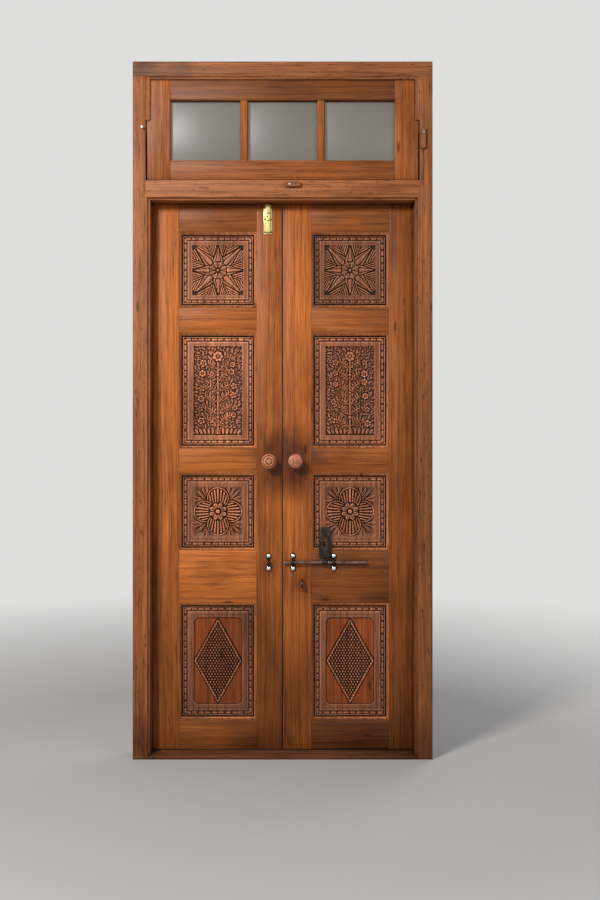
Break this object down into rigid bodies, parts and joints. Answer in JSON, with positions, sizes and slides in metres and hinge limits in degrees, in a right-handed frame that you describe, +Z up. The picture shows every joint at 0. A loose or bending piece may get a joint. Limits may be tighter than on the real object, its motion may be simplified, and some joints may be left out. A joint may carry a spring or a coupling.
{
  "type": "carved temple door",
  "caption": "Double-leaf wooden door with carved panels in its frame, with a pivoting glazed sash above, a sliding latch with a hasp, and a tower bolt.",
  "frame": {"origin": "middle of the sill's underside, on the floor", "axes": "+Z up; +X to the right across the door, seen from its front; +Y from the front to the back, the way the leaves open"},
  "size_m": [1.15, 0.1358, 2.676],
  "materials": {
    "frame_wood": "aged varnished teak",
    "leaf_wood": "aged varnished teak",
    "carved_wood": "carved teak, waxed",
    "moulding_wood": "varnished teak",
    "turned_wood": "turned and varnished",
    "glass": "clear",
    "black_iron": "forged, worn dark",
    "hinge_steel": "dulled steel",
    "brass": "worn polished brass"
  },
  "bodies": {
    "root": {"left_jamb": "frame_wood", "right_jamb": "frame_wood", "head": "frame_wood", "transom_bar": "frame_wood", "sill": "frame_wood", "pivot_sockets": "hinge_steel", "button_screws": "hinge_steel", "hinge_frame_flaps": "hinge_steel"},
    "left_leaf": {"left_meeting_stile": "leaf_wood", "left_hinge_stile": "leaf_wood", "left_bottom_rail": "leaf_wood", "left_lock_rail": "leaf_wood", "left_middle_rail": "leaf_wood", "left_upper_rail": "leaf_wood", "left_top_rail": "leaf_wood", "left_star_panel": "carved_wood", "left_floral_panel": "carved_wood", "left_rosette_panel": "carved_wood", "left_lattice_panel": "carved_wood", "left_panel_mouldings": "moulding_wood", "left_knob": "turned_wood", "left_hinge_flaps": "hinge_steel", "left_latch_straps": "black_iron", "left_latch_studs": "black_iron", "tower_bolt_plate": "brass"},
    "right_leaf": {"right_meeting_stile": "leaf_wood", "right_hinge_stile": "leaf_wood", "right_bottom_rail": "leaf_wood", "right_lock_rail": "leaf_wood", "right_middle_rail": "leaf_wood", "right_upper_rail": "leaf_wood", "right_top_rail": "leaf_wood", "right_star_panel": "carved_wood", "right_floral_panel": "carved_wood", "right_rosette_panel": "carved_wood", "right_lattice_panel": "carved_wood", "right_panel_mouldings": "moulding_wood", "right_knob": "turned_wood", "right_hinge_flaps": "hinge_steel", "right_latch_straps": "black_iron", "right_latch_studs": "black_iron", "padlock_staple": "black_iron"},
    "transom_sash": {"sash_bottom_rail": "leaf_wood", "sash_top_rail": "leaf_wood", "sash_left_stile": "leaf_wood", "sash_right_stile": "leaf_wood", "sash_bars": "leaf_wood", "left_pane": "glass", "middle_pane": "glass", "right_pane": "glass", "glazing_beads": "leaf_wood", "pivot_pins": "hinge_steel"},
    "transom_button": {"transom_button": "turned_wood"},
    "jamb_button": {"jamb_button": "turned_wood"},
    "latch_rod": {"latch_rod": "black_iron"},
    "hasp": {"hasp": "black_iron"},
    "tower_bolt": {"tower_bolt": "brass"}
  },
  "joints": [
    {"name": "left_leaf_hinge", "type": "hinge", "parent": "root", "child": "left_leaf", "pos_m": [-0.51975, 0.0615, 1.14], "axis": [0, 0, 1], "range_deg": [0, 110]},
    {"name": "right_leaf_hinge", "type": "hinge", "parent": "root", "child": "right_leaf", "pos_m": [0.51975, 0.0615, 1.14], "axis": [0, 0, -1], "range_deg": [0, 110]},
    {"name": "sash_pivot", "type": "hinge", "parent": "root", "child": "transom_sash", "pos_m": [0, -0.029, 2.436], "axis": [-1, 0, 0], "range_deg": [0, 70]},
    {"name": "transom_button_turn", "type": "hinge", "parent": "root", "child": "transom_button", "pos_m": [0.028, -0.055, 2.2035], "axis": [0, 1, 0], "range_deg": [-90, 0]},
    {"name": "jamb_button_turn", "type": "hinge", "parent": "root", "child": "jamb_button", "pos_m": [0.539, -0.055, 2.402], "axis": [0, -1, 0], "range_deg": [-90, 0]},
    {"name": "latch_slide", "type": "slide", "parent": "right_leaf", "child": "latch_rod", "axis": [1, 0, 0], "range_m": [-0.088, 0]},
    {"name": "hasp_swing", "type": "hinge", "parent": "latch_rod", "child": "hasp", "pos_m": [0.164, 0.001, 0.748], "axis": [-1, 0, 0], "range_deg": [-184.5, 0]},
    {"name": "tower_bolt_slide", "type": "slide", "parent": "left_leaf", "child": "tower_bolt", "axis": [0, 0, -1], "range_m": [-0.024, 0]}
  ]
}
